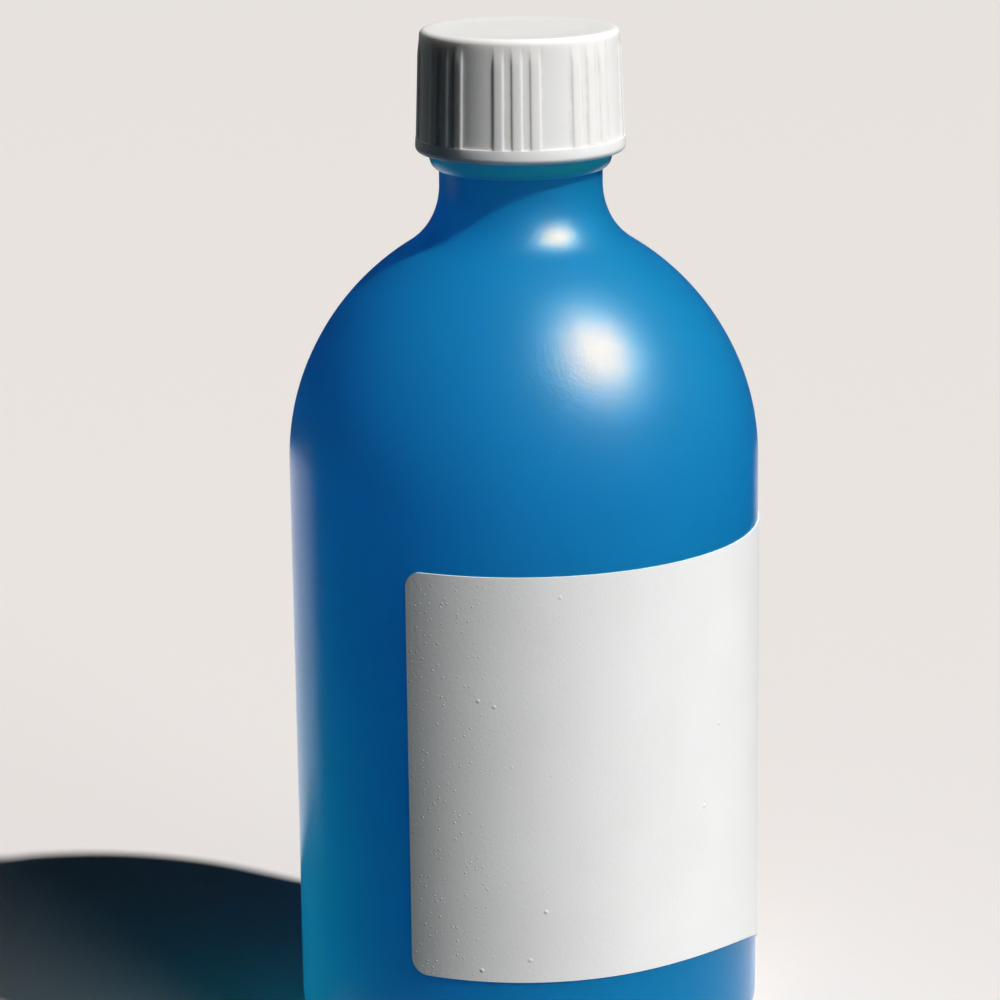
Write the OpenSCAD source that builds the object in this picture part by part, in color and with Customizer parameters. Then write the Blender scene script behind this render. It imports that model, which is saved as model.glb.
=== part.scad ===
// Round mouthwash bottle with a ribbed screw cap, a sealing wad in the cap and a front label.
// Millimetres. The origin is the middle of the ring that the bottle stands on, +Z is up,
// and the label faces -Y.

/* [Body] */
// Outside diameter of the body
body_d = 71; // [62:0.5:84]
// Thickness of the blown wall
wall = 1.2; // [0.8:0.1:2]
// Radius of the heel, where the wall turns under
heel_r = 9; // [6:0.5:12]
// Width of the flat ring that the bottle stands on
foot_w = 3.5; // [2:0.5:6]
// Rise of the hollow under the base
hollow_h = 2.5; // [1:0.1:5]
// Height at which the shoulder begins
shoulder_z = 93.3; // [80:0.1:120]
// Radius of the rounded shoulder
shoulder_r = 38.8; // [36:0.1:44]

/* [Pinched seam under the base] */
// Length of the seam that the mould leaves across the hollow
seam_l = 34; // [20:1:40]
// Width of the seam
seam_w = 1.2; // [0.6:0.1:2]
// Height of the seam
seam_h = 0.5; // [0.2:0.1:0.8]

/* [Neck] */
// Outside diameter of the neck
neck_d = 24.3; // [20:0.1:28]
// Radius of the hollow flare between shoulder and neck
flare_r = 10.6; // [6:0.1:14]
// Straight neck between the flare and the bead
neck_land = 1.9; // [1:0.1:5]
// How far the bead stands out from the neck
bead_proud = 1.4; // [0.8:0.1:2]
// Radius of the bead's section
bead_r = 2.5; // [2:0.1:4]
// How far the mouth's wall under the thread stands out from the neck
mouth_step = 0.45; // [0.2:0.05:0.7]
// Height from the bead to the lip
mouth_h = 14.6; // [12:0.1:18]
// Radius of the lip's edges
lip_r = 0.5; // [0.2:0.1:0.7]

/* [Cap] */
// Space between the bead and the cap's skirt
cap_gap = 0.3; // [0.3:0.05:0.6]
// Thickness of the skirt at the rim
skirt_t = 1.8; // [1.6:0.1:2.5]
// Thickness of the cap's top
top_t = 1.5; // [1:0.1:2.5]
// Height of the rim above the middle of the bead
rim_lift = 0.9; // [0.2:0.1:2]
// Lean of the skirt's outside, in degrees
draft = 2; // [0.5:0.25:3]
// Height of the plain band round the rim
band_h = 2.2; // [1.5:0.1:4]
// Radius of the rim's outer edge
rim_edge_r = 0.9; // [0.3:0.1:1.2]
// Chamfer at the mouth of the skirt
rim_chamfer = 0.4; // [0.2:0.1:0.8]
// Radius of the edge round the top
top_edge_r = 1.2; // [0.8:0.1:2]
// Width of the flat border between that edge and the recess in the top
border_w = 1; // [0.2:0.1:2]
// Depth of the recess in the top
recess_h = 0.12; // [0.05:0.01:0.4]

/* [Grip] */
// Groups of ribs round the skirt
rib_groups = 8; // [4:1:10]
// Ribs in each group
group_ribs = 3; // [1:1:3]
// Distance from rib to rib in a group
rib_pitch = 2.8; // [2:0.1:3.4]
// Width of a rib
rib_w = 1.55; // [0.8:0.05:1.8]
// Height of a rib above the skirt
rib_h = 0.45; // [0.3:0.05:0.6]
// Radius of a rib's edges
rib_edge_r = 0.3; // [0.1:0.05:0.35]
// Height over which a rib fades out below the top
rib_fade = 1.6; // [1:0.1:3]
// Turn of the first group from the front, in degrees to the right
rib_angle = -1.8; // [-22:0.1:22]

/* [Sealing wad] */
// Thickness of the wad in the cap's top
wad_t = 1; // [0.6:0.1:2]
// Space between the wad's edge and the skirt
wad_gap = 0.3; // [0.2:0.05:0.6]

/* [Label] */
// Thickness of the label
label_t = 0.2; // [0.1:0.05:0.4]
// Width of the label along the wall
label_w = 78; // [60:1:90]
// Left end of the label from the front, in degrees to the right
label_angle = -29; // [-60:0.5:0]
// Distance from the heel to the label's lower edge
label_foot_gap = 13.5; // [10:0.5:20]
// Distance from the label's upper edge to the shoulder
label_top_gap = 9; // [4:0.5:20]
// Radius of the label's corners
label_corner_r = 2.5; // [1:0.5:5]
// Where the lower edge begins to fall, from the front, in degrees to the right
sweep_angle = 30; // [20:1:60]
// Radius of the falling lower edge, seen from the side
sweep_r = 72; // [60:1:120]

/* [Hidden] */
$fn = 128;
// Extra reach of a cutter past what it cuts
over = 1;
// Depth of a rib's crest below the face of the rim's band
crest_gap = 0.05;
// Depth to which a rib is rooted in the skirt and in the band
rib_root = 0.3;
// How far a corner's round reaches past the label's edges, so that it meets them cleanly
corner_reach = 0.05;

body_r = body_d / 2;
neck_r = neck_d / 2;

// Base: a shallow dome between the foot rings, rounded out into the wall
hollow_r = body_r - heel_r - foot_w;
dome_r = (hollow_r * hollow_r + hollow_h * hollow_h) / (2 * hollow_h);
dome_c = [0, hollow_h - dome_r];
heel_c = [body_r - heel_r, heel_r];

// Shoulder and flare touch on the line between their centres
shoulder_c = [body_r - shoulder_r, shoulder_z];
flare_x = neck_r + flare_r;
flare_z = shoulder_z + sqrt(pow(shoulder_r + flare_r, 2) - pow(flare_x - shoulder_c.x, 2));
flare_c = [flare_x, flare_z];
flare_a = atan2(flare_z - shoulder_z, flare_x - shoulder_c.x);

// Bead and mouth, stacked on the flare
bead_x = neck_r + bead_proud - bead_r;
bead_low_a = acos((neck_r - bead_x) / bead_r);
mouth_r = neck_r + mouth_step;
bead_high_a = acos((mouth_r - bead_x) / bead_r);
bead_z = flare_z + neck_land + bead_r * sin(bead_low_a);
bead_c = [bead_x, bead_z];
mouth_z = bead_z + bead_r * sin(bead_high_a) + mouth_h;
bore_r = neck_r - wall;

// Cap: hung from the mouth by its wad, wide enough to pass over the bead
rim_z = bead_z + rim_lift;
ceiling_z = mouth_z + wad_t;
cap_top_z = ceiling_z + top_t;
skirt_r = neck_r + bead_proud + cap_gap;
rim_r = skirt_r + skirt_t;
band_z = rim_z + band_h;
rib_step = rib_pitch / rim_r * 180 / PI;

// Label: on the straight wall, its lower edge falling away to the right
label_z = heel_r + label_foot_gap;
label_top_z = shoulder_z - label_top_gap;
label_span = label_w / body_r * 180 / PI;
label_to = label_angle + label_span;
sweep_y = -body_r * cos(sweep_angle);
end_w = 2 * label_corner_r;
end_span = end_w / body_r * 180 / PI;
label_end_z = label_z - label_fall(label_to);
label_end_slope = atan((label_fall(label_to) - label_fall(label_to - end_span)) / end_w);

// Points along an arc about c, from one angle to another, as fine as its radius needs
function arc(c, r, from, to) =
    let (steps = ceil(abs(to - from) / 360 * 16 * max(1, sqrt(r))))
    [for (k = [0:steps]) let (a = from + (to - from) * k / steps) c + r * [cos(a), sin(a)]];

function reverse(points) = [for (k = [len(points) - 1:-1:0]) points[k]];

// Outline of the dome under the base, set in by a thickness, from the axis to the foot ring
function dome(inset) =
    arc(dome_c, dome_r + inset, 90, asin((inset - dome_c.y) / (dome_r + inset)));

// Outline of the vessel from the axis up to the neck, set in by a thickness
function vessel(inset) = concat(
    dome(inset),
    arc(heel_c, heel_r - inset, -90, 0),
    arc(shoulder_c, shoulder_r - inset, 0, flare_a),
    arc(flare_c, flare_r + inset, flare_a + 180, 180));

// Fall of the label's lower edge at an angle from the front
function label_fall(angle) =
    let (run = max(0, -body_r * cos(angle) - sweep_y))
    sweep_r - sqrt(sweep_r * sweep_r - run * run);

// Outside radius of the cap at a height, over the ribs
function grip_r(z) = rim_r - (z - rim_z) * tan(draft);

module bottle_wall() {
    outside = concat(
        vessel(0),
        arc(bead_c, bead_r, -bead_low_a, bead_high_a),
        arc([mouth_r - lip_r, mouth_z - lip_r], lip_r, 0, 90));
    inside = concat(
        vessel(wall),
        arc([bore_r + lip_r, mouth_z - lip_r], lip_r, 180, 90));
    rotate_extrude()
        polygon(concat(outside, reverse(inside)));
}

// Seam that the closing mould pinches across the hollow under the base
module base_seam() {
    intersection() {
        rotate_extrude()
            polygon(concat(dome(wall / 2), reverse(dome(-seam_h))));
        translate([-seam_l / 2, -seam_w / 2, 0])
            cube([seam_l, seam_w, hollow_h + wall]);
    }
}

module bottle() {
    color("#1a78b0") {
        bottle_wall();
        base_seam();
    }
}

// Waste outside the round of a corner: the corner's angle opens from +X
module corner_waste(angle, r) {
    c = (r - corner_reach) * [1 / tan(angle / 2), 1];
    reach = r + over;
    difference() {
        polygon([
            c,
            c + reach * [0, -1],
            c - reach / sin(angle / 2) * [cos(angle / 2), sin(angle / 2)],
            c + reach * [-sin(angle), cos(angle)]]);
        translate(c)
            circle(r);
    }
}

// Puts a flat shape on the wall at an angle from the front, standing through the label
module on_wall(angle, z) {
    rotate([0, 0, angle])
        translate([0, -body_r, z])
            rotate([90, 0, 0])
                linear_extrude(2 * over, center = true)
                    children();
}

// Waste below the label: level from the left to the sweep's start, then falling along its radius
module lower_waste() {
    side = 2 * body_r;
    translate([-side, -side, 0])
        cube([side, 2 * side, label_z]);
    rotate([90, 0, 90])
        linear_extrude(side)
            difference() {
                translate([-side, label_z - sweep_r])
                    square([side + sweep_y + sweep_r, sweep_r]);
                translate([sweep_y + sweep_r, label_z])
                    rotate(180)
                        corner_waste(90, sweep_r);
            }
}

module label() {
    color("#efedee")
        difference() {
            rotate([0, 0, label_angle - 90])
                rotate_extrude(angle = label_span)
                    translate([body_r, heel_r])
                        square([label_t, label_top_z - heel_r]);
            lower_waste();
            on_wall(label_angle, label_z)
                corner_waste(90, label_corner_r);
            on_wall(label_to, label_end_z)
                rotate(90)
                    corner_waste(90 - label_end_slope, label_corner_r);
            on_wall(label_to, label_top_z)
                rotate(180)
                    corner_waste(90, label_corner_r);
            on_wall(label_angle, label_top_z)
                rotate(270)
                    corner_waste(90, label_corner_r);
        }
}

// Skirt and top of the cap, without the ribs
module cap_shell() {
    rim_edge_c = [rim_r - rim_edge_r, rim_z + rim_edge_r];
    top_edge_z = cap_top_z - top_edge_r;
    top_edge_c = [grip_r(top_edge_z) - rib_h - top_edge_r / cos(draft), top_edge_z];
    recess_r = top_edge_c.x - border_w;
    rotate_extrude()
        polygon(concat(
            [[skirt_r, ceiling_z], [skirt_r, rim_z + rim_chamfer], [skirt_r + rim_chamfer, rim_z]],
            arc(rim_edge_c, rim_edge_r, -90, draft),
            [[grip_r(band_z), band_z], [grip_r(band_z) - rib_h, band_z]],
            arc(top_edge_c, top_edge_r, draft, 90),
            [[recess_r, cap_top_z], [recess_r - recess_h, cap_top_z - recess_h]],
            [[0, cap_top_z - recess_h], [0, ceiling_z]]));
}

// Space that the ribs may fill: it leans in to the cap's top edge, so the ribs fade out there
module rib_room() {
    depth = rib_h + rib_root;
    foot_z = band_z - rib_root;
    fade_z = cap_top_z - rib_fade;
    rotate_extrude()
        polygon([
            [grip_r(foot_z) - depth, foot_z],
            [rim_r + over, foot_z],
            [rim_r + over, fade_z - over],
            [grip_r(fade_z), fade_z],
            [grip_r(fade_z + depth) - depth, fade_z + depth]]);
}

// One rib along +X, leaning with the skirt, its crest just inside the band's face
module rib() {
    edge_x = -rib_edge_r;
    edge_y = rib_w / 2 - rib_edge_r;
    translate([rim_r - crest_gap, 0, rim_z])
        rotate([0, -draft, 0])
            linear_extrude(2 * (cap_top_z - rim_z))
                polygon(concat(
                    [[-skirt_t, -rib_w / 2]],
                    arc([edge_x, -edge_y], rib_edge_r, -90, 0),
                    arc([edge_x, edge_y], rib_edge_r, 0, 90),
                    [[-skirt_t, rib_w / 2]]));
}

module cap() {
    first_rib = rib_angle - 90 - (group_ribs - 1) / 2 * rib_step;
    color("#e9e5e4") {
        cap_shell();
        intersection() {
            rib_room();
            for (group = [0:rib_groups - 1], k = [0:group_ribs - 1])
                rotate([0, 0, first_rib + group * 360 / rib_groups + k * rib_step])
                    rib();
        }
    }
}

module cap_liner() {
    color("#f4f3ee")
        translate([0, 0, mouth_z])
            cylinder(r = skirt_r - wad_gap, h = wad_t);
}

bottle();
label();
cap();
cap_liner();
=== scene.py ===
"""Round mouthwash bottle with a label, a ribbed screw cap and a sealing wad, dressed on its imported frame."""

import math

import bmesh
import bpy
from bpy.props import FloatProperty, FloatVectorProperty, IntProperty, PointerProperty
from bpy.types import Operator, Panel, PropertyGroup
from mathutils import Matrix, Vector


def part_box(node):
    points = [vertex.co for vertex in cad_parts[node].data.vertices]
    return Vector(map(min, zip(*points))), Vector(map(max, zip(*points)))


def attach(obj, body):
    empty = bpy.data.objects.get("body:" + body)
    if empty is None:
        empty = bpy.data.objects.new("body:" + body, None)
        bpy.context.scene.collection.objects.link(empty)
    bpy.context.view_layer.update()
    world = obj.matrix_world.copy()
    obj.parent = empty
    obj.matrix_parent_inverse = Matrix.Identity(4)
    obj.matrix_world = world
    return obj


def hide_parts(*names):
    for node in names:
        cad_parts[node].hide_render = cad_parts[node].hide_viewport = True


bl_info = {
    "name": "Mouthwash bottle",
    "version": (1, 0, 0),
    "blender": (4, 5, 0),
    "location": "3D View > Sidebar > Bottle",
    "description": "Models a round mouthwash bottle, its label, ribbed cap and sealing wad, and its stage",
    "category": "Object",
}

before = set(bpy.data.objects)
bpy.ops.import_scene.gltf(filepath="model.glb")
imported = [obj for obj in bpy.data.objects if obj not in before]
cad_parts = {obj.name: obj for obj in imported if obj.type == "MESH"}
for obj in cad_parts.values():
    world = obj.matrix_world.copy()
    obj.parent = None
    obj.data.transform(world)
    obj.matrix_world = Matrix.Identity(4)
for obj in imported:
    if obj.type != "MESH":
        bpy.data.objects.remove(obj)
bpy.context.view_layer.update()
BOTTLE_LOW, BOTTLE_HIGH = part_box("bottle")
_, LABEL_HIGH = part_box("label")
CAP_LOW, CAP_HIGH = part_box("cap")
WAD_LOW, WAD_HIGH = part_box("cap_liner")

Z_AXIS = Vector((0.0, 0.0, 1.0))
# Two points closer than this are one
JOIN = 1e-6
# A face that looks up more steeply than this carries no parting line
STEEP = 0.9
# Steps across a rib's flank and crest, between two ribs, and between two groups of ribs
FLANK_STEPS = 5
CREST_STEPS = 4
GAP_STEPS = 3
FLAT_STEPS = 8
# Collections of the pieces that some lamps light alone
SHELL_ONLY = "shell_only"
CAP_ONLY = "cap_only"


# Settings

def length(name, description, default):
    """A size in metres."""
    return FloatProperty(
        name=name, description=description, default=default, precision=5,
        subtype="DISTANCE", unit="LENGTH")


def turn(name, description, degrees):
    """An angle, given in degrees and kept in radians."""
    return FloatProperty(
        name=name, description=description, default=math.radians(degrees),
        subtype="ANGLE", unit="ROTATION")


def colour(name, description, default):
    """A linear colour."""
    return FloatVectorProperty(
        name=name, description=description, default=default, min=0.0, max=1.0,
        size=3, subtype="COLOR")


class BottleSizes(PropertyGroup):
    """Sizes of the blown bottle."""
    radius: length("Body radius", "Outside radius of the body", -BOTTLE_LOW.x)
    mouth_z: length("Lip height", "Height of the lip", BOTTLE_HIGH.z)
    wall: length("Wall", "Thickness of the blown wall", 0.0012)
    heel_r: length("Heel radius", "Radius where the wall turns under", 0.009)
    foot_w: length("Foot width", "Width of the ring that the bottle stands on", 0.0035)
    hollow_h: length("Hollow", "Rise of the hollow under the base", 0.0025)
    shoulder_z: length("Shoulder height", "Height at which the shoulder begins", 0.0933)
    shoulder_r: length("Shoulder radius", "Radius of the rounded shoulder", 0.0388)
    neck_r: length("Neck radius", "Outside radius of the neck", 0.01215)
    flare_r: length("Flare radius", "Radius of the hollow flare below the neck", 0.0106)
    neck_land: length("Neck land", "Straight neck between the flare and the bead", 0.00239)
    bead_proud: length("Bead height", "How far the bead stands out from the neck", 0.0014)
    bead_r: length("Bead radius", "Radius of the bead's section", 0.0018)
    mouth_step: length("Mouth step", "How far the mouth's wall stands out from the neck", 0.00045)
    lip_r: length("Lip radius", "Radius of the lip's edges", 0.0005)
    part_w: length("Parting line width", "Half width of the line that the mould's halves leave", 0.00025)
    part_h: length("Parting line height", "Height of the line that the mould's halves leave", 0.00004)
    seam_l: length("Base seam length", "Length of the pinched seam under the base", 0.034)
    seam_w: length("Base seam width", "Width of the pinched seam", 0.0012)
    seam_h: length("Base seam height", "Height of the pinched seam", 0.0005)
    seam_edge: length("Base seam edge", "Rounding of the pinched seam's lower edges", 0.0003)
    seam_cuts: IntProperty(
        name="Base seam cuts", description="Steps in which the pinched seam bends", default=24, min=2)
    segments: IntProperty(
        name="Segments", description="Steps round half of the bottle", default=128, min=32)


class CapSizes(PropertyGroup):
    """Sizes of the screw cap and its wad."""
    rim_r: length("Rim radius", "Outside radius of the rim", CAP_HIGH.x)
    rim_z: length("Rim height", "Height of the rim", CAP_LOW.z)
    top_z: length("Top height", "Height of the cap's top", CAP_HIGH.z)
    skirt_t: length("Skirt", "Thickness of the skirt at the rim", 0.0018)
    top_t: length("Top", "Thickness of the cap's top", 0.0015)
    draft: turn("Draft", "Lean of the skirt's outside", 2.0)
    band_h: length("Band", "Height of the plain band round the rim", 0.0022)
    rim_edge_r: length("Rim edge", "Radius of the rim's outer edge", 0.0009)
    rim_chamfer: length("Rim chamfer", "Chamfer at the mouth of the skirt", 0.0004)
    top_edge_r: length("Top edge", "Radius of the edge round the top", 0.0009)
    border_w: length("Border", "Flat border between that edge and the recess", 0.001)
    recess_h: length("Recess", "Depth of the recess in the top", 0.00012)
    recess_run: length("Recess edge", "Width of the slope round the recess", 0.0012)
    rib_groups: IntProperty(
        name="Rib groups", description="Groups of ribs round the skirt", default=8, min=1)
    group_ribs: IntProperty(name="Ribs", description="Ribs in each group", default=3, min=1)
    rib_pitch: length("Rib pitch", "Distance from rib to rib in a group", 0.0028)
    rib_w: length("Rib width", "Width of a rib", 0.00155)
    rib_h: length("Rib height", "Height of a rib above the skirt", 0.00024)
    rib_edge: length("Rib edge", "Width of a rib's rounded flank", 0.00042)
    rib_fade: length("Rib fade", "Distance below the top at which a rib begins to fade", 0.004)
    rib_turn: turn("Rib turn", "Turn of the first group from the front, to the right", -1.8)
    crest_gap: length("Crest gap", "Depth of a rib's crest below the face of the rim's band", 0.00005)
    # Painted shade: reach of the warm shade painted to either side of each rib's foot.
    painted_shade_w: length("Grime", "Reach of the grime to either side of a rib's foot", 0.000336)
    wad_r: length("Wad radius", "Radius of the sealing wad", WAD_HIGH.x)
    wad_low: length("Wad underside", "Height of the wad's underside", WAD_LOW.z)
    wad_high: length("Wad upper side", "Height of the wad's upper side", WAD_HIGH.z)
    wad_edge: length("Wad edge", "Radius of the wad's edges", 0.00015)
    wad_dent: length("Wad dent", "Depth of the ring that the lip presses into the wad", 0.00008)
    wad_steps: IntProperty(name="Wad steps", description="Steps round the wad", default=128, min=32)


class ThreadSizes(PropertyGroup):
    """Sizes of the screw thread on the mouth and in the cap."""
    pitch: length("Pitch", "Rise of the thread in one turn", 0.004233)
    height: length("Height", "Height of the thread's section", 0.0009)
    root_w: length("Root width", "Width of the thread at its root", 0.0022)
    crest_w: length("Crest width", "Width of the thread at its crest", 0.001)
    start_z: length("Start", "Height of the thread's lower end on the mouth", 0.1462)
    turns: FloatProperty(name="Turns", description="Turns of the thread", default=1.5, min=0.25)
    fade: turn("Run-out", "Angle over which each end of the thread fades", 30.0)
    end_share: FloatProperty(
        name="End", description="Share of the thread's height that is left at its ends", default=0.06)
    root: length("Rooting", "Depth to which the thread is rooted in its wall", 0.0001)
    steps: IntProperty(name="Steps", description="Steps in one turn of the thread", default=72, min=12)


class LabelSizes(PropertyGroup):
    """Sizes of the label on the wall."""
    top_z: length("Upper edge", "Height of the label's upper edge", LABEL_HIGH.z)
    low_z: length("Lower edge", "Height of the label's lower edge at the front", 0.0225)
    width: length("Width", "Width of the label along the wall", 0.078)
    thickness: length("Thickness", "Thickness of the label", 0.0002)
    corner_r: length("Corner", "Radius of the label's corners", 0.0025)
    left: turn("Left end", "Left end of the label from the front, to the right", -29.0)
    sweep_from: turn("Sweep start", "Where the lower edge begins to fall, to the right", 30.0)
    sweep_r: length("Sweep radius", "Radius of the falling lower edge, seen from the side", 0.072)
    strip: length("Strip", "Width of the strips in which the label bends", 0.001)


class FinishColours(PropertyGroup):
    """Colours of the surfaces, and where they change."""
    blue: colour("Blue", "Blue of the moulded bottle", (0.003, 0.128, 0.195))
    deep_blue: colour("Deep blue", "Blue where the moulded wall is a little thicker", (0.002, 0.116, 0.178))
    # Painted glow: the bead and the mouth get a greener blue that stands in for light thrown onto them by the
    # white cap.
    painted_glow: colour("Teal", "Greener blue of the bead and the mouth", (0.012, 0.34, 0.20))
    painted_glow_low: length("Teal from", "Height at which the blue begins to turn to teal", 0.1376)
    painted_glow_high: length("Teal to", "Height from which all is teal", 0.1386)
    blue_through: colour("Blue through", "Light that the bottle's wall lets through", (0.18, 0.46, 0.66))
    dust: colour("Dust", "Specks of dust on the bottle", (0.30, 0.46, 0.56))
    paper: colour("Paper", "White of the label", (0.95, 0.935, 0.93))
    paper_fleck: colour("Paper fleck", "Flecks in the label", (0.60, 0.58, 0.56))
    paper_through: colour("Paper through", "Light that the label lets through", (0.03, 0.12, 0.12))
    dust_thin: length("Thin dust", "How far right the label's dust has thinned out", -0.004)
    dust_thick: length("Thick dust", "How far right the label's dust is thickest", -0.014)
    cap_white: colour("Cap white", "White of the moulded cap", (0.97, 0.94, 0.92))
    cap_shade: colour("Cap shade", "White of the cap where handling has dulled it", (0.92, 0.885, 0.86))
    # Painted shade: a warm tan laid in the corners beside the ribs, where shade falls.
    grime: colour("Grime", "Handling grime in the corners beside the ribs", (0.52, 0.37, 0.22))
    foam: colour("Foam", "White of the sealing wad", (0.80, 0.79, 0.75))
    table: colour("Table", "Pale top of the table", (0.86, 0.83, 0.81))
    table_bounce: colour(
        "Table's bounce", "Share of the light that the table throws back", (0.012, 0.013, 0.013))
    card: colour("Card", "Black of the cards beside the bottle", (0.004, 0.005, 0.006))


class StageSettings(PropertyGroup):
    """Camera and light."""
    lens: FloatProperty(
        name="Lens", description="Focal length in millimetres", default=130.2, unit="CAMERA")
    near: length("Near end", "Nearest distance that the camera sees", 0.01)
    far: length("Far end", "Farthest distance that the camera sees", 100.0)
    distance: length("Distance", "From the aiming point to the camera", 0.5506)
    aim_z: length("Aim height", "Height of the aiming point on the bottle's axis", 0.0855)
    elevation: turn("Elevation", "Height of the camera above the horizon", 14.59)
    roll: turn("Roll", "Lean of the camera", 0.6)
    off_x: FloatProperty(
        name="Right", description="How far right of the middle the aiming point lies, in frame widths",
        default=0.0243)
    off_y: FloatProperty(
        name="Down", description="How far below the middle the aiming point lies, in frame widths",
        default=0.007)
    key_azimuth: turn("Key azimuth", "Side of the key lamp, from the front to the right", 57.0)
    key_elevation: turn("Key elevation", "Height of the key lamp", 49.0)
    key_angle: turn("Key size", "Angle that the key lamp fills, seen from the bottle", 2.0)
    key_power: FloatProperty(name="Key power", description="Strength of the key lamp", default=3.9)
    key_tint: colour("Key tint", "Colour of the key lamp", (1.0, 0.975, 0.96))
    fill_azimuth: turn("Fill azimuth", "Side of the fill lamp, from the front to the right", 42.0)
    fill_elevation: turn("Fill elevation", "Height of the fill lamp", 15.0)
    fill_angle: turn("Fill size", "Angle that the fill lamp fills, seen from the bottle", 25.0)
    fill_power: FloatProperty(name="Fill power", description="Strength of the fill lamp", default=0.6)
    fill_tint: colour("Fill tint", "Colour of the fill lamp", (0.9, 1.0, 0.98))
    glint_power: FloatProperty(
        name="Glint", description="Strength of the key's gloss on the bottle", default=56.0)
    glint_angle: turn("Glint size", "Angle that this gloss fills, seen from the bottle", 27.0)
    glint_tint: colour("Glint tint", "Colour of this gloss", (1.0, 0.49, 0.0))
    halo_power: FloatProperty(name="Halo", description="Strength of the wider gloss round it", default=48.0)
    halo_angle: turn("Halo size", "Angle that the wider gloss fills, seen from the bottle", 48.0)
    halo_tint: colour("Halo tint", "Colour of the wider gloss", (0.0, 0.63, 1.0))
    kick_place: FloatVectorProperty(
        name="Kick place", description="Place of the small lamp low at the bottle's left",
        default=(-0.1, 0.005, 0.012), size=3, subtype="TRANSLATION", unit="LENGTH")
    kick_size: length("Kick size", "Width of that lamp", 0.05)
    kick_power: FloatProperty(name="Kick power", description="Strength of that lamp in watts", default=0.066)
    kick_tint: colour("Kick tint", "Colour of that lamp", (0.4, 1.0, 0.54))
    back_azimuth: turn("Back azimuth", "Side of the lamp behind the cap, from the front to the right", 205.0)
    back_elevation: turn("Back elevation", "Height of the lamp behind the cap", 12.0)
    back_angle: turn("Back size", "Angle that the lamp behind the cap fills, seen from the bottle", 40.0)
    back_power: FloatProperty(
        name="Back power", description="Strength of the lamp behind the cap", default=1.1)
    back_tint: colour("Back tint", "Colour of the lamp behind the cap", (0.85, 1.0, 0.95))
    table_r: length("Table radius", "Radius of the table", 40.0)
    card_x: length("Card distance", "From the bottle's axis to the black cards at its sides", 0.06)
    card_front: length("Card front", "From the bottle's axis forward to the side cards' front ends", 0.48)
    card_left_y: length("Left card", "How far back the left black card reaches", 0.006)
    card_right_y: length("Right card", "How far back the right black card reaches", 0.06)
    card_back_y: length("Back card", "From the bottle's axis back to the black card behind it", 0.4)
    card_back_w: length("Back card width", "Half width of the black card behind the bottle", 0.96)
    card_right_z: length("Right card foot", "Height of the right black card's foot", 0.025)
    card_h: length("Card height", "Height of the black cards", 0.5)
    room: FloatProperty(name="Room", description="Strength of the room's even light", default=0.006)
    room_tint: colour("Room tint", "Colour of the room's even light", (0.75, 0.93, 1.0))


# Drawing profiles and finishing meshes

class Pen:
    """Draws a profile in the plane of X and Z: a straight run extrudes the tip, an arc spins it."""

    def __init__(self, x, z):
        self.bm = bmesh.new()
        self.tip = self.bm.verts.new((x, 0.0, z))

    def line(self, x, z, cuts=1):
        start = self.tip.co.copy()
        end = Vector((x, 0.0, z))
        for k in range(1, cuts + 1):
            self.tip = bmesh.ops.extrude_vert_indiv(self.bm, verts=[self.tip])["verts"][0]
            self.tip.co = start.lerp(end, k / cuts)

    def arc(self, centre, degrees, step=4.0):
        made = bmesh.ops.spin(
            self.bm, geom=[self.tip], cent=(centre[0], 0.0, centre[1]), axis=(0.0, -1.0, 0.0),
            angle=math.radians(degrees), steps=max(2, math.ceil(abs(degrees) / step)))
        self.tip = next(g for g in made["geom_last"] if isinstance(g, bmesh.types.BMVert))


def sweep(bm, plan):
    """Spins the drawn profile about Z through the plan's (angle, steps) pairs, which make a full turn."""
    geom = bm.verts[:] + bm.edges[:]
    for angle, steps in plan:
        geom = bmesh.ops.spin(
            bm, geom=geom, cent=(0.0, 0.0, 0.0), axis=Z_AXIS, angle=angle, steps=steps)["geom_last"]
    close(bm)


def cut_across(bm, x):
    """Cuts every edge and face that crosses X at that place, so that the mesh can bend there."""
    bmesh.ops.bisect_plane(
        bm, geom=bm.verts[:] + bm.edges[:] + bm.faces[:], dist=JOIN,
        plane_co=(x, 0.0, 0.0), plane_no=(1.0, 0.0, 0.0))


def close(bm):
    """Merges doubles, drops what they leave and turns the faces outwards."""
    bmesh.ops.remove_doubles(bm, verts=bm.verts[:], dist=JOIN)
    bmesh.ops.dissolve_degenerate(bm, dist=JOIN, edges=bm.edges[:])
    bmesh.ops.recalc_face_normals(bm, faces=bm.faces[:])
    bm.normal_update()


def mesh_object(name, bm, material):
    """Makes the bmesh an object of one material."""
    mesh = bpy.data.meshes.new(name)
    bm.to_mesh(mesh)
    bm.free()
    mesh.materials.append(material)
    obj = bpy.data.objects.new(name, mesh)
    bpy.context.scene.collection.objects.link(obj)
    return obj


def piece(name, bm, material, body, replaced=None, sharp=40.0):
    """Makes the bmesh a smooth shaded object that rides on a body."""
    open_edges = sum(not e.is_manifold for e in bm.edges)
    if open_edges:
        raise RuntimeError(f"{name} has {open_edges} open edges")
    obj = mesh_object(name, bm, material)
    obj.data.shade_smooth()
    obj.data.set_sharp_from_angle(angle=math.radians(sharp))
    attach(obj, body)
    if replaced:
        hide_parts(replaced)
    return obj


def ease(t):
    """Smooth step from 0 to 1."""
    t = min(1.0, max(0.0, t))
    return t * t * (3.0 - 2.0 * t)


# Materials

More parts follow.
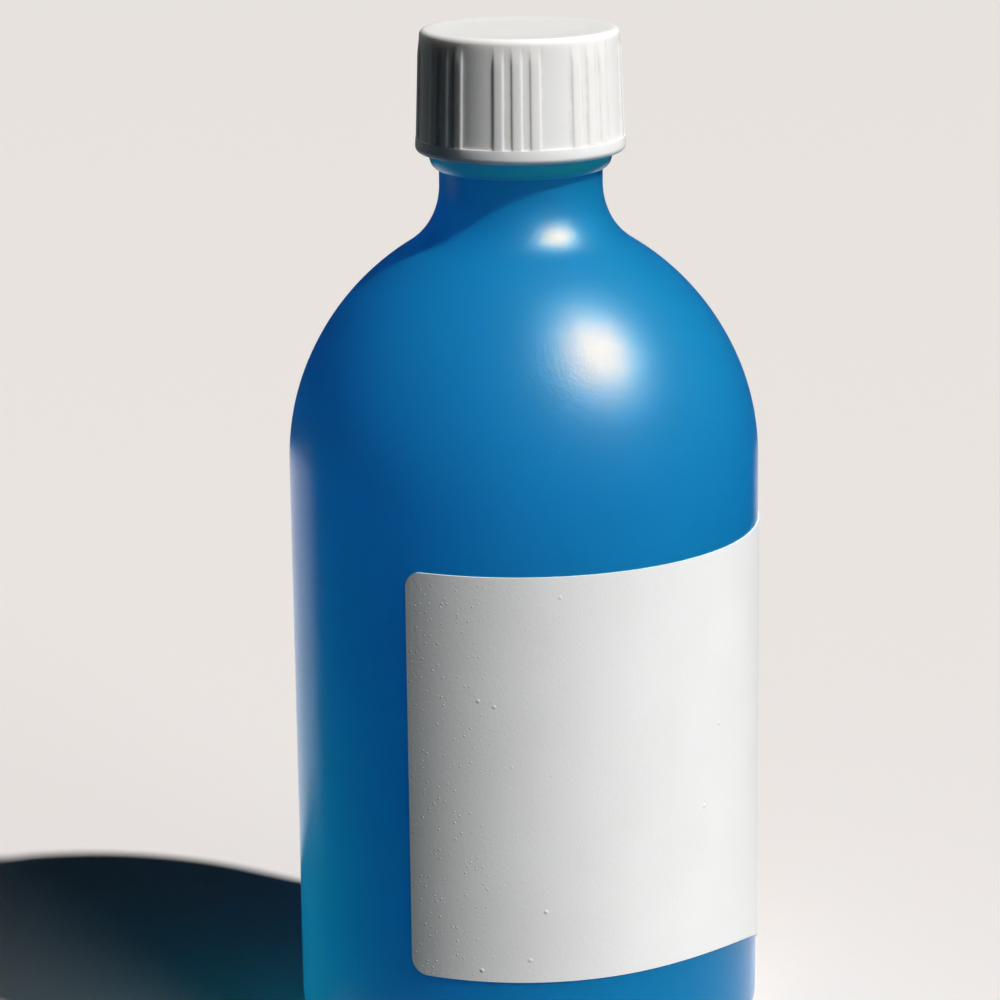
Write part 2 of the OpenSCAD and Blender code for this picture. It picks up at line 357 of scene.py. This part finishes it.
class Finish:
    """A Principled material and the few node shapes that the finishes share."""

    def __init__(self, name):
        self.material = bpy.data.materials.new(name)
        self.material.use_nodes = True
        self.nodes = self.material.node_tree.nodes
        self.links = self.material.node_tree.links
        self.shader = self.nodes["Principled BSDF"]
        self.place = self.nodes.new("ShaderNodeTexCoord").outputs["Object"]

    def set(self, **values):
        for name, value in values.items():
            self.shader.inputs[name.replace("_", " ")].default_value = value

    def to_shader(self, name, output):
        self.links.new(output, self.shader.inputs[name])

    def let_through(self, tint):
        """Lets a share of the light through, scattered, beside what the shader throws back."""
        through = self.nodes.new("ShaderNodeBsdfTranslucent")
        through.inputs["Color"].default_value = (*tint, 1.0)
        both = self.nodes.new("ShaderNodeAddShader")
        self.links.new(self.shader.outputs["BSDF"], both.inputs[0])
        self.links.new(through.outputs["BSDF"], both.inputs[1])
        self.links.new(both.outputs["Shader"], self.nodes["Material Output"].inputs["Surface"])

    def noise(self, scale, detail=2.0, roughness=0.5):
        node = self.nodes.new("ShaderNodeTexNoise")
        node.inputs["Scale"].default_value = scale
        node.inputs["Detail"].default_value = detail
        node.inputs["Roughness"].default_value = roughness
        self.links.new(self.place, node.inputs["Vector"])
        return node.outputs["Fac"]

    def ramp(self, value, low, high, to_low=0.0, to_high=1.0):
        node = self.nodes.new("ShaderNodeMapRange")
        for name, number in (
                ("From Min", low), ("From Max", high), ("To Min", to_low), ("To Max", to_high)):
            node.inputs[name].default_value = number
        self.links.new(value, node.inputs["Value"])
        return node.outputs["Result"]

    def math(self, operation, a, b):
        node = self.nodes.new("ShaderNodeMath")
        node.operation = operation
        for socket, value in zip(node.inputs, (a, b)):
            if isinstance(value, (int, float)):
                socket.default_value = value
            else:
                self.links.new(value, socket)
        return node.outputs["Value"]

    def mix(self, factor, a, b):
        node = self.nodes.new("ShaderNodeMix")
        node.data_type = "RGBA"
        self.links.new(factor, node.inputs["Factor"])
        for name, value in (("A", a), ("B", b)):
            socket = next(s for s in node.inputs if s.name == name and s.type == "RGBA")
            if isinstance(value, bpy.types.NodeSocket):
                self.links.new(value, socket)
            else:
                socket.default_value = (*value, 1.0)
        return next(s for s in node.outputs if s.type == "RGBA")

    def along(self, axis):
        """The place along one axis."""
        node = self.nodes.new("ShaderNodeSeparateXYZ")
        self.links.new(self.place, node.inputs["Vector"])
        return node.outputs[axis]

    def painted(self, name):
        """A mask that the mesh carries."""
        node = self.nodes.new("ShaderNodeAttribute")
        node.attribute_name = name
        return node.outputs["Fac"]

    def specks(self, scale, radius, share, core=0.6):
        """Mask of round specks with a full core: one cell in so many of a Voronoi lattice carries one."""
        node = self.nodes.new("ShaderNodeTexVoronoi")
        node.inputs["Scale"].default_value = scale
        self.links.new(self.place, node.inputs["Vector"])
        dot = self.ramp(node.outputs["Distance"], radius * scale, radius * scale * core)
        split = self.nodes.new("ShaderNodeSeparateColor")
        self.links.new(node.outputs["Color"], split.inputs["Color"])
        chosen = self.math("LESS_THAN", split.outputs["Red"], share)
        return self.math("MULTIPLY", dot, chosen)

    def bump(self, height, distance, under=None):
        node = self.nodes.new("ShaderNodeBump")
        node.inputs["Distance"].default_value = distance
        self.links.new(height, node.inputs["Height"])
        if under is not None:
            self.links.new(under, node.inputs["Normal"])
        return node.outputs["Normal"]


def moulded_blue(colours):
    """Satin blue plastic of the blown bottle, with the mould's fine grain, a little dust, and a painted teal
    glow on the bead and the mouth.
    """
    f = Finish("moulded_blue")
    f.set(IOR=1.2, Specular_Tint=(0.0, 0.0, 0.0, 1.0), Coat_IOR=1.15, Coat_Roughness=0.32)
    f.let_through(colours.blue_through)
    cloud = f.ramp(f.noise(45.0, detail=3.0), 0.35, 0.65)
    tint = f.mix(cloud, colours.deep_blue, colours.blue)
    # Painted glow: from the bead up, the blue turns teal, standing in for light that the white cap throws onto
    # the bead and the mouth.
    tint = f.mix(f.ramp(f.along("Z"), colours.painted_glow_low, colours.painted_glow_high), tint, colours.painted_glow)
    dust = f.specks(scale=210.0, radius=0.00012, share=0.16)
    f.to_shader("Base Color", f.mix(dust, tint, colours.dust))
    grain = f.noise(3600.0, detail=1.0)
    f.to_shader("Roughness", f.ramp(grain, 0.3, 0.7, 0.11, 0.16))
    f.to_shader("Coat Weight", f.ramp(f.noise(3000.0, detail=1.0), 0.4, 0.6, 0.65, 1.0))
    wave = f.bump(f.noise(120.0), distance=0.00004)
    normal = f.bump(grain, distance=0.000036, under=wave)
    f.to_shader("Normal", normal)
    f.to_shader("Coat Normal", normal)
    return f.material


def coated_paper(colours):
    """Matte coated paper: fine tooth, faint cloudiness, flecks, tiny blisters, and dust towards the left."""
    f = Finish("coated_paper")
    f.set(Roughness=0.62, IOR=1.42)
    f.let_through(colours.paper_through)
    cloud = f.ramp(f.noise(55.0, detail=5.0, roughness=0.6), 0.3, 0.7, 0.0, 0.14)
    white = f.mix(cloud, colours.paper, colours.paper_fleck)
    flecks = f.math("MULTIPLY", f.specks(scale=300.0, radius=0.00014, share=0.08), 0.6)
    f.to_shader("Base Color", f.mix(flecks, white, colours.paper_fleck))
    left = f.ramp(f.along("X"), colours.dust_thin, colours.dust_thick, 0.15, 1.0)
    dust = f.math("MULTIPLY", f.specks(scale=1300.0, radius=0.00017, share=0.5, core=0.0), left)
    tooth = f.bump(f.noise(2200.0, detail=3.0, roughness=0.6), distance=0.00002)
    blisters = f.specks(scale=420.0, radius=0.0004, share=0.10, core=0.0)
    raised = f.bump(blisters, distance=0.00009, under=tooth)
    f.to_shader("Normal", f.bump(dust, distance=0.00012, under=raised))
    return f.material


def moulded_white(colours):
    """Smooth white plastic of the cap, dulled a little by handling, with painted warm shade in the corners
    beside the ribs.
    """
    f = Finish("moulded_white")
    f.set(IOR=1.25, Subsurface_Weight=0.4, Subsurface_Scale=0.001, Subsurface_Radius=(2.4, 2.1, 1.9))
    cloud = f.ramp(f.noise(160.0, detail=4.0), 0.45, 0.75, 0.0, 0.5)
    white = f.mix(cloud, colours.cap_white, colours.cap_shade)
    patches = f.ramp(f.noise(420.0, detail=3.0), 0.4, 0.7, 0.04, 0.3)
    # Painted shade: the corners beside the ribs take a warm tan, broken into patches.
    grime = f.math("MULTIPLY", f.painted("grime"), patches)
    f.to_shader("Base Color", f.mix(grime, white, colours.grime))
    grain = f.noise(1800.0, detail=3.0, roughness=0.55)
    f.to_shader("Roughness", f.ramp(grain, 0.3, 0.7, 0.34, 0.46))
    f.to_shader("Normal", f.bump(grain, distance=0.00001))
    return f.material


def pressed_foam(colours):
    """Pressed white foam with fine closed cells."""
    f = Finish("pressed_foam")
    f.set(Roughness=0.7, IOR=1.4)
    cells = f.noise(1400.0, detail=5.0, roughness=0.65)
    shade = f.ramp(cells, 0.3, 0.7, 0.0, 0.35)
    f.to_shader("Base Color", f.mix(shade, colours.foam, colours.cap_shade))
    f.to_shader("Normal", f.bump(cells, distance=0.00003))
    return f.material


def table_top(colours):
    """Plain pale matte table, which throws little of its light back on the bottle."""
    f = Finish("table_top")
    f.set(Roughness=0.8, IOR=1.3)
    path = f.nodes.new("ShaderNodeLightPath").outputs
    seen = f.math("MAXIMUM", path["Is Camera Ray"], path["Is Glossy Ray"])
    seen = f.math("MAXIMUM", seen, path["Is Transmission Ray"])
    f.to_shader("Base Color", f.mix(seen, colours.table_bounce, colours.table))
    return f.material


def black_card(colours):
    """Matte black card."""
    f = Finish("black_card")
    f.set(Base_Color=(*colours.card, 1.0), Roughness=1.0, Specular_IOR_Level=0.0)
    return f.material


FINISHES = {
    "moulded_blue": moulded_blue, "coated_paper": coated_paper, "moulded_white": moulded_white,
    "pressed_foam": pressed_foam, "table_top": table_top, "black_card": black_card}


def finish(name, context):
    """The material of that name, made at its first use."""
    return bpy.data.materials.get(name) or FINISHES[name](context.scene.finish_colours)


# Shapes that several pieces share

class BottleShape:
    """Centres and angles of the bottle's outline, worked out from its sizes as (x, z)."""

    def __init__(self, s):
        self.hollow_r = s.radius - s.heel_r - s.foot_w
        self.dome_r = (self.hollow_r ** 2 + s.hollow_h ** 2) / (2.0 * s.hollow_h)
        self.dome_c = (0.0, s.hollow_h - self.dome_r)
        self.heel_c = (s.radius - s.heel_r, s.heel_r)
        self.shoulder_c = (s.radius - s.shoulder_r, s.shoulder_z)
        flare_x = s.neck_r + s.flare_r
        rise = math.sqrt((s.shoulder_r + s.flare_r) ** 2 - (flare_x - self.shoulder_c[0]) ** 2)
        self.flare_c = (flare_x, s.shoulder_z + rise)
        self.flare_a = math.degrees(math.atan2(rise, flare_x - self.shoulder_c[0]))
        bead_x = s.neck_r + s.bead_proud - s.bead_r
        self.mouth_r = s.neck_r + s.mouth_step
        self.bead_low = math.degrees(math.acos((s.neck_r - bead_x) / s.bead_r))
        self.bead_high = math.degrees(math.acos((self.mouth_r - bead_x) / s.bead_r))
        self.bead_foot = self.flare_c[1] + s.neck_land
        self.bead_c = (bead_x, self.bead_foot + s.bead_r * math.sin(math.radians(self.bead_low)))
        self.bore_r = s.neck_r - s.wall

    def dome_angle(self, inset):
        """Angle, from the axis, at which the dome meets the level of the wall's inside or outside."""
        return 90.0 - math.degrees(math.asin((inset - self.dome_c[1]) / (self.dome_r + inset)))


def ridge_along_helix(bm, sizes, wall_r, inward, low_z):
    """Extrudes a thread's section along its helix by single spins; its ends run out into the wall."""
    sign = -1.0 if inward else 1.0
    root_r = wall_r - sign * sizes.root
    rise = sizes.height + sizes.root
    section = (
        (0.0, -sizes.root_w / 2), (0.0, sizes.root_w / 2),
        (rise, sizes.crest_w / 2), (rise, -sizes.crest_w / 2))
    corners = [bm.verts.new((root_r + sign * out, 0.0, low_z + up)) for out, up in section]
    geom = [bm.faces.new(corners)]
    steps = round(sizes.steps * sizes.turns)
    one = 2.0 * math.pi / sizes.steps
    rings = [corners]
    for _ in range(steps):
        geom = bmesh.ops.spin(
            bm, geom=geom, cent=(0.0, 0.0, 0.0), axis=Z_AXIS, angle=one, steps=1,
            dvec=(0.0, 0.0, sizes.pitch / sizes.steps))["geom_last"]
        rings.append([g for g in geom if isinstance(g, bmesh.types.BMVert)])
    for k, ring in enumerate(rings):
        grown = ease(min(k, steps - k) * one / sizes.fade)
        share = sizes.end_share + (1.0 - sizes.end_share) * grown
        for v in ring:
            r = math.hypot(v.co.x, v.co.y)
            wanted = root_r + (r - root_r) * share
            v.co.x *= wanted / r
            v.co.y *= wanted / r
    close(bm)


# Operators

class BOTTLE_OT_shell(Operator):
    """Blown bottle: one profile of outside and inside, spun round the axis"""
    bl_idname = "bottle_kit.shell"
    bl_label = "Bottle"

    def execute(self, context):
        s = context.scene.bottle_sizes
        shape = BottleShape(s)
        pen = Pen(0.0, s.hollow_h)
        pen.arc(shape.dome_c, -shape.dome_angle(0.0), step=1.0)
        pen.line(shape.heel_c[0], 0.0)
        pen.arc(shape.heel_c, 90.0)
        pen.line(s.radius, s.shoulder_z, cuts=6)
        pen.arc(shape.shoulder_c, shape.flare_a, step=2.0)
        pen.arc(shape.flare_c, -shape.flare_a)
        pen.line(s.neck_r, shape.bead_foot)
        pen.arc(shape.bead_c, shape.bead_low + shape.bead_high, step=8.0)
        outside = len(pen.bm.verts)
        pen.line(shape.mouth_r, s.mouth_z - s.lip_r)
        pen.arc((shape.mouth_r - s.lip_r, s.mouth_z - s.lip_r), 90.0, step=15.0)
        pen.line(shape.bore_r + s.lip_r, s.mouth_z)
        pen.arc((shape.bore_r + s.lip_r, s.mouth_z - s.lip_r), 90.0, step=15.0)
        pen.line(shape.bore_r, shape.flare_c[1])
        pen.arc(shape.flare_c, shape.flare_a)
        pen.arc(shape.shoulder_c, -shape.flare_a)
        pen.line(s.radius - s.wall, s.heel_r, cuts=3)
        pen.arc(shape.heel_c, -90.0, step=8.0)
        pen.line((shape.dome_r + s.wall) * math.sin(math.radians(shape.dome_angle(s.wall))), s.wall)
        pen.arc(shape.dome_c, shape.dome_angle(s.wall), step=3.0)
        outer = pen.bm.verts.layers.int.new("outer")
        pen.bm.verts.ensure_lookup_table()
        for v in pen.bm.verts[:outside]:
            v[outer] = 1
        narrow = s.part_w / s.radius
        half = [(narrow, 1), (math.pi - 2.0 * narrow, s.segments - 2), (narrow, 1)]
        sweep(pen.bm, half + half)
        for v in pen.bm.verts:
            if v[outer] and abs(v.co.y) < JOIN and v.co.z > s.heel_r and v.normal.z < STEEP:
                v.co += v.normal * s.part_h
        blue = finish("moulded_blue", context)
        shell = piece("bottle_shell", pen.bm, blue, "bottle", "bottle")
        bpy.data.collections[SHELL_ONLY].objects.link(shell)
        return {"FINISHED"}


class BOTTLE_OT_base_seam(Operator):
    """Seam that the closing mould pinches across the hollow under the base"""
    bl_idname = "bottle_kit.base_seam"
    bl_label = "Base seam"

    def execute(self, context):
        s = context.scene.bottle_sizes
        shape = BottleShape(s)
        bm = bmesh.new()
        bmesh.ops.create_cube(bm, size=1.0)
        depth = s.seam_h + s.wall / 2
        bmesh.ops.scale(bm, vec=(s.seam_l, s.seam_w, depth), verts=bm.verts[:])
        bmesh.ops.translate(bm, vec=(0.0, 0.0, (s.wall / 2 - s.seam_h) / 2), verts=bm.verts[:])
        lower = [e for e in bm.edges if all(v.co.z < 0.0 for v in e.verts)]
        bmesh.ops.bevel(
            bm, geom=lower, offset=s.seam_edge, offset_type="OFFSET", segments=4, profile=0.5,
            affect="EDGES", material=-1)
        for k in range(1, s.seam_cuts):
            cut_across(bm, s.seam_l * (k / s.seam_cuts - 0.5))
        for v in bm.verts:
            v.co.z += shape.dome_c[1] + math.sqrt(shape.dome_r ** 2 - v.co.x ** 2)
        close(bm)
        piece("base_seam", bm, finish("moulded_blue", context), "bottle")
        return {"FINISHED"}


class BOTTLE_OT_neck_thread(Operator):
    """Screw thread round the mouth"""
    bl_idname = "bottle_kit.neck_thread"
    bl_label = "Neck thread"

    def execute(self, context):
        sizes = context.scene.thread_sizes
        bm = bmesh.new()
        ridge_along_helix(bm, sizes, BottleShape(context.scene.bottle_sizes).mouth_r, False, sizes.start_z)
        piece("neck_thread", bm, finish("moulded_blue", context), "bottle")
        return {"FINISHED"}


class BOTTLE_OT_label(Operator):
    """Paper label: a cut sheet with round corners, bent on the wall and given its thickness"""
    bl_idname = "bottle_kit.label"
    bl_label = "Label"

    def execute(self, context):
        s = context.scene.label_sizes
        radius = context.scene.bottle_sizes.radius
        height = s.top_z - s.low_z
        bm = bmesh.new()
        bmesh.ops.create_grid(bm, x_segments=1, y_segments=1, size=0.5)
        bmesh.ops.scale(bm, vec=(s.width, height, 1.0), verts=bm.verts[:])
        left = s.left * radius
        bmesh.ops.translate(bm, vec=(left + s.width / 2, s.low_z + height / 2, 0.0), verts=bm.verts[:])
        bmesh.ops.bevel(
            bm, geom=bm.verts[:], offset=s.corner_r, offset_type="OFFSET", segments=10, profile=0.5,
            affect="VERTICES", material=-1)
        for k in range(1, round(s.width / s.strip)):
            cut_across(bm, left + k * s.strip)
        for v in bm.verts:
            angle = v.co.x / radius
            run = max(0.0, radius * (math.cos(s.sweep_from) - math.cos(angle))) if angle > 0.0 else 0.0
            drop = s.sweep_r - math.sqrt(s.sweep_r ** 2 - run ** 2)
            share = (s.top_z - v.co.y) / height
            v.co = (radius * math.sin(angle), -radius * math.cos(angle), v.co.y - drop * share)
        made = bmesh.ops.extrude_face_region(bm, geom=bm.faces[:])
        for v in (g for g in made["geom"] if isinstance(g, bmesh.types.BMVert)):
            v.co.x *= 1.0 + s.thickness / radius
            v.co.y *= 1.0 + s.thickness / radius
        close(bm)
        piece(
            "front_label", bm, finish("coated_paper", context), "bottle", "label",
            sharp=30.0)
        return {"FINISHED"}


class BOTTLE_OT_cap(Operator):
    """Screw cap: a profile spun in the steps of its ribs, which are then raised from the skirt"""
    bl_idname = "bottle_kit.cap"
    bl_label = "Cap"

    def execute(self, context):
        s = context.scene.cap_sizes
        lean = math.tan(s.draft)
        skirt_r = s.rim_r - s.skirt_t
        ceiling_z = s.top_z - s.top_t
        band_z = s.rim_z + s.band_h
        edge_z = s.top_z - s.top_edge_r

        def grip_r(z):
            return s.rim_r - (z - s.rim_z) * lean

        edge_c = (grip_r(edge_z) - s.rib_h - s.top_edge_r / math.cos(s.draft), edge_z)
        recess_r = edge_c[0] - s.border_w
        draft = math.degrees(s.draft)
        pen = Pen(0.0, ceiling_z)
        pen.line(skirt_r, ceiling_z)
        pen.line(skirt_r, s.rim_z + s.rim_chamfer, cuts=2)
        pen.line(skirt_r + s.rim_chamfer, s.rim_z)
        pen.line(s.rim_r - s.rim_edge_r, s.rim_z)
        pen.arc((s.rim_r - s.rim_edge_r, s.rim_z + s.rim_edge_r), 90.0 + draft, step=10.0)
        pen.line(grip_r(band_z), band_z)
        pen.line(grip_r(band_z) - s.rib_h, band_z)
        fade_z = s.top_z - s.rib_fade
        pen.line(grip_r(fade_z) - s.rib_h, fade_z, cuts=4)
        pen.line(
            edge_c[0] + s.top_edge_r * math.cos(s.draft), edge_z + s.top_edge_r * math.sin(s.draft),
            cuts=8)
        pen.arc(edge_c, 90.0 - draft, step=6.0)
        pen.line(recess_r, s.top_z)
        pen.line(recess_r - s.recess_run, s.top_z - s.recess_h)
        pen.line(0.0, s.top_z - s.recess_h, cuts=3)

        flank = s.rib_edge / s.rim_r
        crest = (s.rib_w - s.rib_edge) / s.rim_r
        wide = crest + 2.0 * flank
        step = s.rib_pitch / s.rim_r
        share = 2.0 * math.pi / s.rib_groups
        rib = [(flank, FLANK_STEPS), (crest, CREST_STEPS), (flank, FLANK_STEPS)]
        group = s.group_ribs * [*rib, (step - wide, GAP_STEPS)]
        group[-1] = (share - (s.group_ribs - 1) * step - wide, FLAT_STEPS)
        first = s.rib_turn - math.pi / 2 - (s.group_ribs - 1) / 2 * step
        bmesh.ops.rotate(
            pen.bm, cent=(0.0, 0.0, 0.0), matrix=Matrix.Rotation(first - wide / 2, 3, "Z"),
            verts=pen.bm.verts[:])
        sweep(pen.bm, group * s.rib_groups)
        # Mask of the painted shade: strongest in the corners at each rib's foot.
        grime = pen.bm.verts.layers.float.new("grime")
        for v in pen.bm.verts:
            r = math.hypot(v.co.x, v.co.y)
            on_skirt = edge_c[0] <= r <= grip_r(v.co.z) - s.rib_h / 2
            if not on_skirt or not band_z - JOIN <= v.co.z <= edge_z:
                continue
            place = (math.atan2(v.co.y, v.co.x) - first + step / 2) % share - step / 2
            away = min(abs(place - k * step) for k in range(s.group_ribs))
            side = 1.0 - ease((away - crest / 2) / flank)
            v[grime] = 1.0 - min(1.0, abs(away - crest / 2 - flank) * s.rim_r / s.painted_shade_w)
            fade = 1.0 - ease((v.co.z - fade_z) / (edge_z - fade_z))
            out = (s.rib_h - s.crest_gap) * side * fade
            v.co.x *= 1.0 + out / r
            v.co.y *= 1.0 + out / r
        pen.bm.normal_update()
        white = finish("moulded_white", context)
        cap = piece("screw_cap", pen.bm, white, "cap", "cap", sharp=50.0)
        bpy.data.collections[CAP_ONLY].objects.link(cap)
        return {"FINISHED"}


class BOTTLE_OT_cap_thread(Operator):
    """Screw thread inside the cap, half a pitch below the mouth's"""
    bl_idname = "bottle_kit.cap_thread"
    bl_label = "Cap thread"

    def execute(self, context):
        sizes = context.scene.thread_sizes
        cap = context.scene.cap_sizes
        bm = bmesh.new()
        ridge_along_helix(bm, sizes, cap.rim_r - cap.skirt_t, True, sizes.start_z - sizes.pitch / 2)
        piece("cap_thread", bm, finish("moulded_white", context), "cap")
        return {"FINISHED"}


class BOTTLE_OT_wad(Operator):
    """Foam wad in the cap's top, with the ring that the lip has pressed into it"""
    bl_idname = "bottle_kit.wad"
    bl_label = "Sealing wad"

    def execute(self, context):
        s = context.scene.cap_sizes
        shape = BottleShape(context.scene.bottle_sizes)
        edge = s.wad_edge
        pen = Pen(0.0, s.wad_low)
        pen.line(shape.bore_r - edge, s.wad_low, cuts=3)
        pen.line(shape.bore_r + edge, s.wad_low + s.wad_dent)
        pen.line(shape.mouth_r - edge, s.wad_low + s.wad_dent)
        pen.line(shape.mouth_r + edge, s.wad_low)
        pen.line(s.wad_r - edge, s.wad_low)
        pen.arc((s.wad_r - edge, s.wad_low + edge), 90.0, step=15.0)
        pen.line(s.wad_r, s.wad_high - edge)
        pen.arc((s.wad_r - edge, s.wad_high - edge), 90.0, step=15.0)
        pen.line(0.0, s.wad_high, cuts=3)
        sweep(pen.bm, [(2.0 * math.pi, s.wad_steps)])
        piece("sealing_wad", pen.bm, finish("pressed_foam", context), "liner", "cap_liner")
        return {"FINISHED"}


class BOTTLE_OT_stage(Operator):
    """Camera, table, black cards, lamps and room"""
    bl_idname = "bottle_kit.stage"
    bl_label = "Stage"

    def execute(self, context):
        scene = context.scene
        s = scene.stage_settings
        scene.view_settings.view_transform = "Standard"
        self.camera(scene, s)
        self.table(context)
        self.cards(context)
        key = self.sun(scene, "key", s.key_azimuth, s.key_elevation, s.key_angle)
        fill = self.sun(scene, "fill", s.fill_azimuth, s.fill_elevation, s.fill_angle)
        glint = self.sun(scene, "glint", s.key_azimuth, s.key_elevation, s.glint_angle)
        halo = self.sun(scene, "halo", s.key_azimuth, s.key_elevation, s.halo_angle)
        kick = self.disk(scene, "kick", s.kick_place, s.kick_size)
        back = self.sun(scene, "back", s.back_azimuth, s.back_elevation, s.back_angle)
        back.light_linking.receiver_collection = bpy.data.collections.new(CAP_ONLY)
        shell_only = bpy.data.collections.new(SHELL_ONLY)
        for lamp in (glint, halo, kick):
            lamp.light_linking.receiver_collection = shell_only
        for lamp in (key, fill, kick, back):
            lamp.visible_glossy = False
        for lamp in (glint, halo):
            lamp.visible_diffuse = False
        kick.visible_camera = False
        world = bpy.data.worlds.new("room")
        world.use_nodes = True
        light = world.node_tree.nodes["Background"]
        light.inputs["Color"].default_value = (*s.room_tint, 1.0)
        light.inputs["Strength"].default_value = s.room
        scene.world = world
        return {"FINISHED"}

    def camera(self, scene, s):
        data = bpy.data.cameras.new("camera")
        data.lens = s.lens
        data.clip_start = s.near
        data.clip_end = s.far
        cam = bpy.data.objects.new("camera", data)
        scene.collection.objects.link(cam)
        back = Vector((0.0, -math.cos(s.elevation), math.sin(s.elevation)))
        right = Vector((1.0, 0.0, 0.0))
        up = right.cross(-back)
        right, up = (
            right * math.cos(s.roll) - up * math.sin(s.roll),
            up * math.cos(s.roll) + right * math.sin(s.roll))
        widths = data.sensor_width / data.lens
        forward = (-back - right * s.off_x * widths + up * s.off_y * widths).normalized()
        right = (right - forward * right.dot(forward)).normalized()
        up = right.cross(forward)
        turned = Matrix((right, up, -forward)).transposed().to_4x4()
        cam.matrix_world = Matrix.Translation(Vector((0.0, 0.0, s.aim_z)) + back * s.distance) @ turned
        scene.camera = cam

    def table(self, context):
        s = context.scene.stage_settings
        bm = bmesh.new()
        bmesh.ops.create_circle(bm, cap_ends=True, segments=96, radius=s.table_r)
        bmesh.ops.recalc_face_normals(bm, faces=bm.faces[:])
        table = mesh_object("table", bm, finish("table_top", context))

    def cards(self, context):
        """Black cards beside and behind the bottle, which only its gloss shows."""
        s = context.scene.stage_settings
        bm = bmesh.new()
        for start, end, foot_z in (
                ((-s.card_x, -s.card_front), (-s.card_x, s.card_left_y), 0.0),
                ((s.card_x, -s.card_front), (s.card_x, s.card_right_y), s.card_right_z),
                ((-s.card_back_w, s.card_back_y), (s.card_back_w, s.card_back_y), 0.0)):
            foot = bm.edges.new([bm.verts.new((*start, foot_z)), bm.verts.new((*end, foot_z))])
            raised = bmesh.ops.extrude_edge_only(bm, edges=[foot])["geom"]
            bmesh.ops.translate(
                bm, vec=(0.0, 0.0, s.card_h), verts=[g for g in raised if isinstance(g, bmesh.types.BMVert)])
        cards = mesh_object("cards", bm, finish("black_card", context))
        cards.visible_camera = False
        cards.visible_diffuse = False
        cards.visible_transmission = False
        cards.visible_shadow = False

    def sun(self, scene, name, azimuth, elevation, angle):
        """Far lamp on the side and at the height of its angles."""
        level = math.cos(elevation)
        way = Vector((math.sin(azimuth) * level, -math.cos(azimuth) * level, math.sin(elevation)))
        lamp = self.lamp(scene, name, "SUN", way, way)
        lamp.data.angle = angle
        return lamp

    def disk(self, scene, name, place, size):
        """Small round lamp near the bottle, which shines level at its axis."""
        lamp = self.lamp(scene, name, "AREA", place, Vector((place[0], place[1], 0.0)))
        lamp.data.shape = "DISK"
        lamp.data.size = size
        return lamp

    def lamp(self, scene, name, kind, place, back):
        """Lamp whose back looks along a vector, with the power and tint of the settings of its name."""
        data = bpy.data.lights.new(name, kind)
        data.energy = getattr(scene.stage_settings, f"{name}_power")
        data.color = getattr(scene.stage_settings, f"{name}_tint")
        lamp = bpy.data.objects.new(name, data)
        scene.collection.objects.link(lamp)
        lamp.location = place
        lamp.rotation_euler = back.to_track_quat("Z", "Y").to_euler()
        return lamp


class BOTTLE_PT_sidebar(Panel):
    """Lists the pieces, the stage and their settings"""
    bl_label = "Mouthwash bottle"
    bl_idname = "BOTTLE_PT_sidebar"
    bl_space_type = "VIEW_3D"
    bl_region_type = "UI"
    bl_category = "Bottle"

    def draw(self, context):
        for step in STEPS:
            self.layout.operator(step.bl_idname)
        for name, group in SETTINGS.items():
            box = self.layout.box()
            box.label(text=name.replace("_", " ").capitalize())
            for prop in group.__annotations__:
                box.prop(getattr(context.scene, name), prop)


STEPS = (
    BOTTLE_OT_stage, BOTTLE_OT_shell, BOTTLE_OT_base_seam, BOTTLE_OT_neck_thread, BOTTLE_OT_label,
    BOTTLE_OT_cap, BOTTLE_OT_cap_thread, BOTTLE_OT_wad)
SETTINGS = {
    "bottle_sizes": BottleSizes, "cap_sizes": CapSizes, "thread_sizes": ThreadSizes,
    "label_sizes": LabelSizes, "finish_colours": FinishColours, "stage_settings": StageSettings}
CLASSES = (*SETTINGS.values(), *STEPS, BOTTLE_PT_sidebar)


def register():
    for cls in CLASSES:
        bpy.utils.register_class(cls)
    for name, group in SETTINGS.items():
        setattr(bpy.types.Scene, name, PointerProperty(type=group))


def unregister():
    for name in SETTINGS:
        delattr(bpy.types.Scene, name)
    for cls in reversed(CLASSES):
        bpy.utils.unregister_class(cls)


def main():
    register()
    for step in STEPS:
        group, name = step.bl_idname.split(".")
        getattr(getattr(bpy.ops, group), name)()


if __name__ == "__main__":
    main()
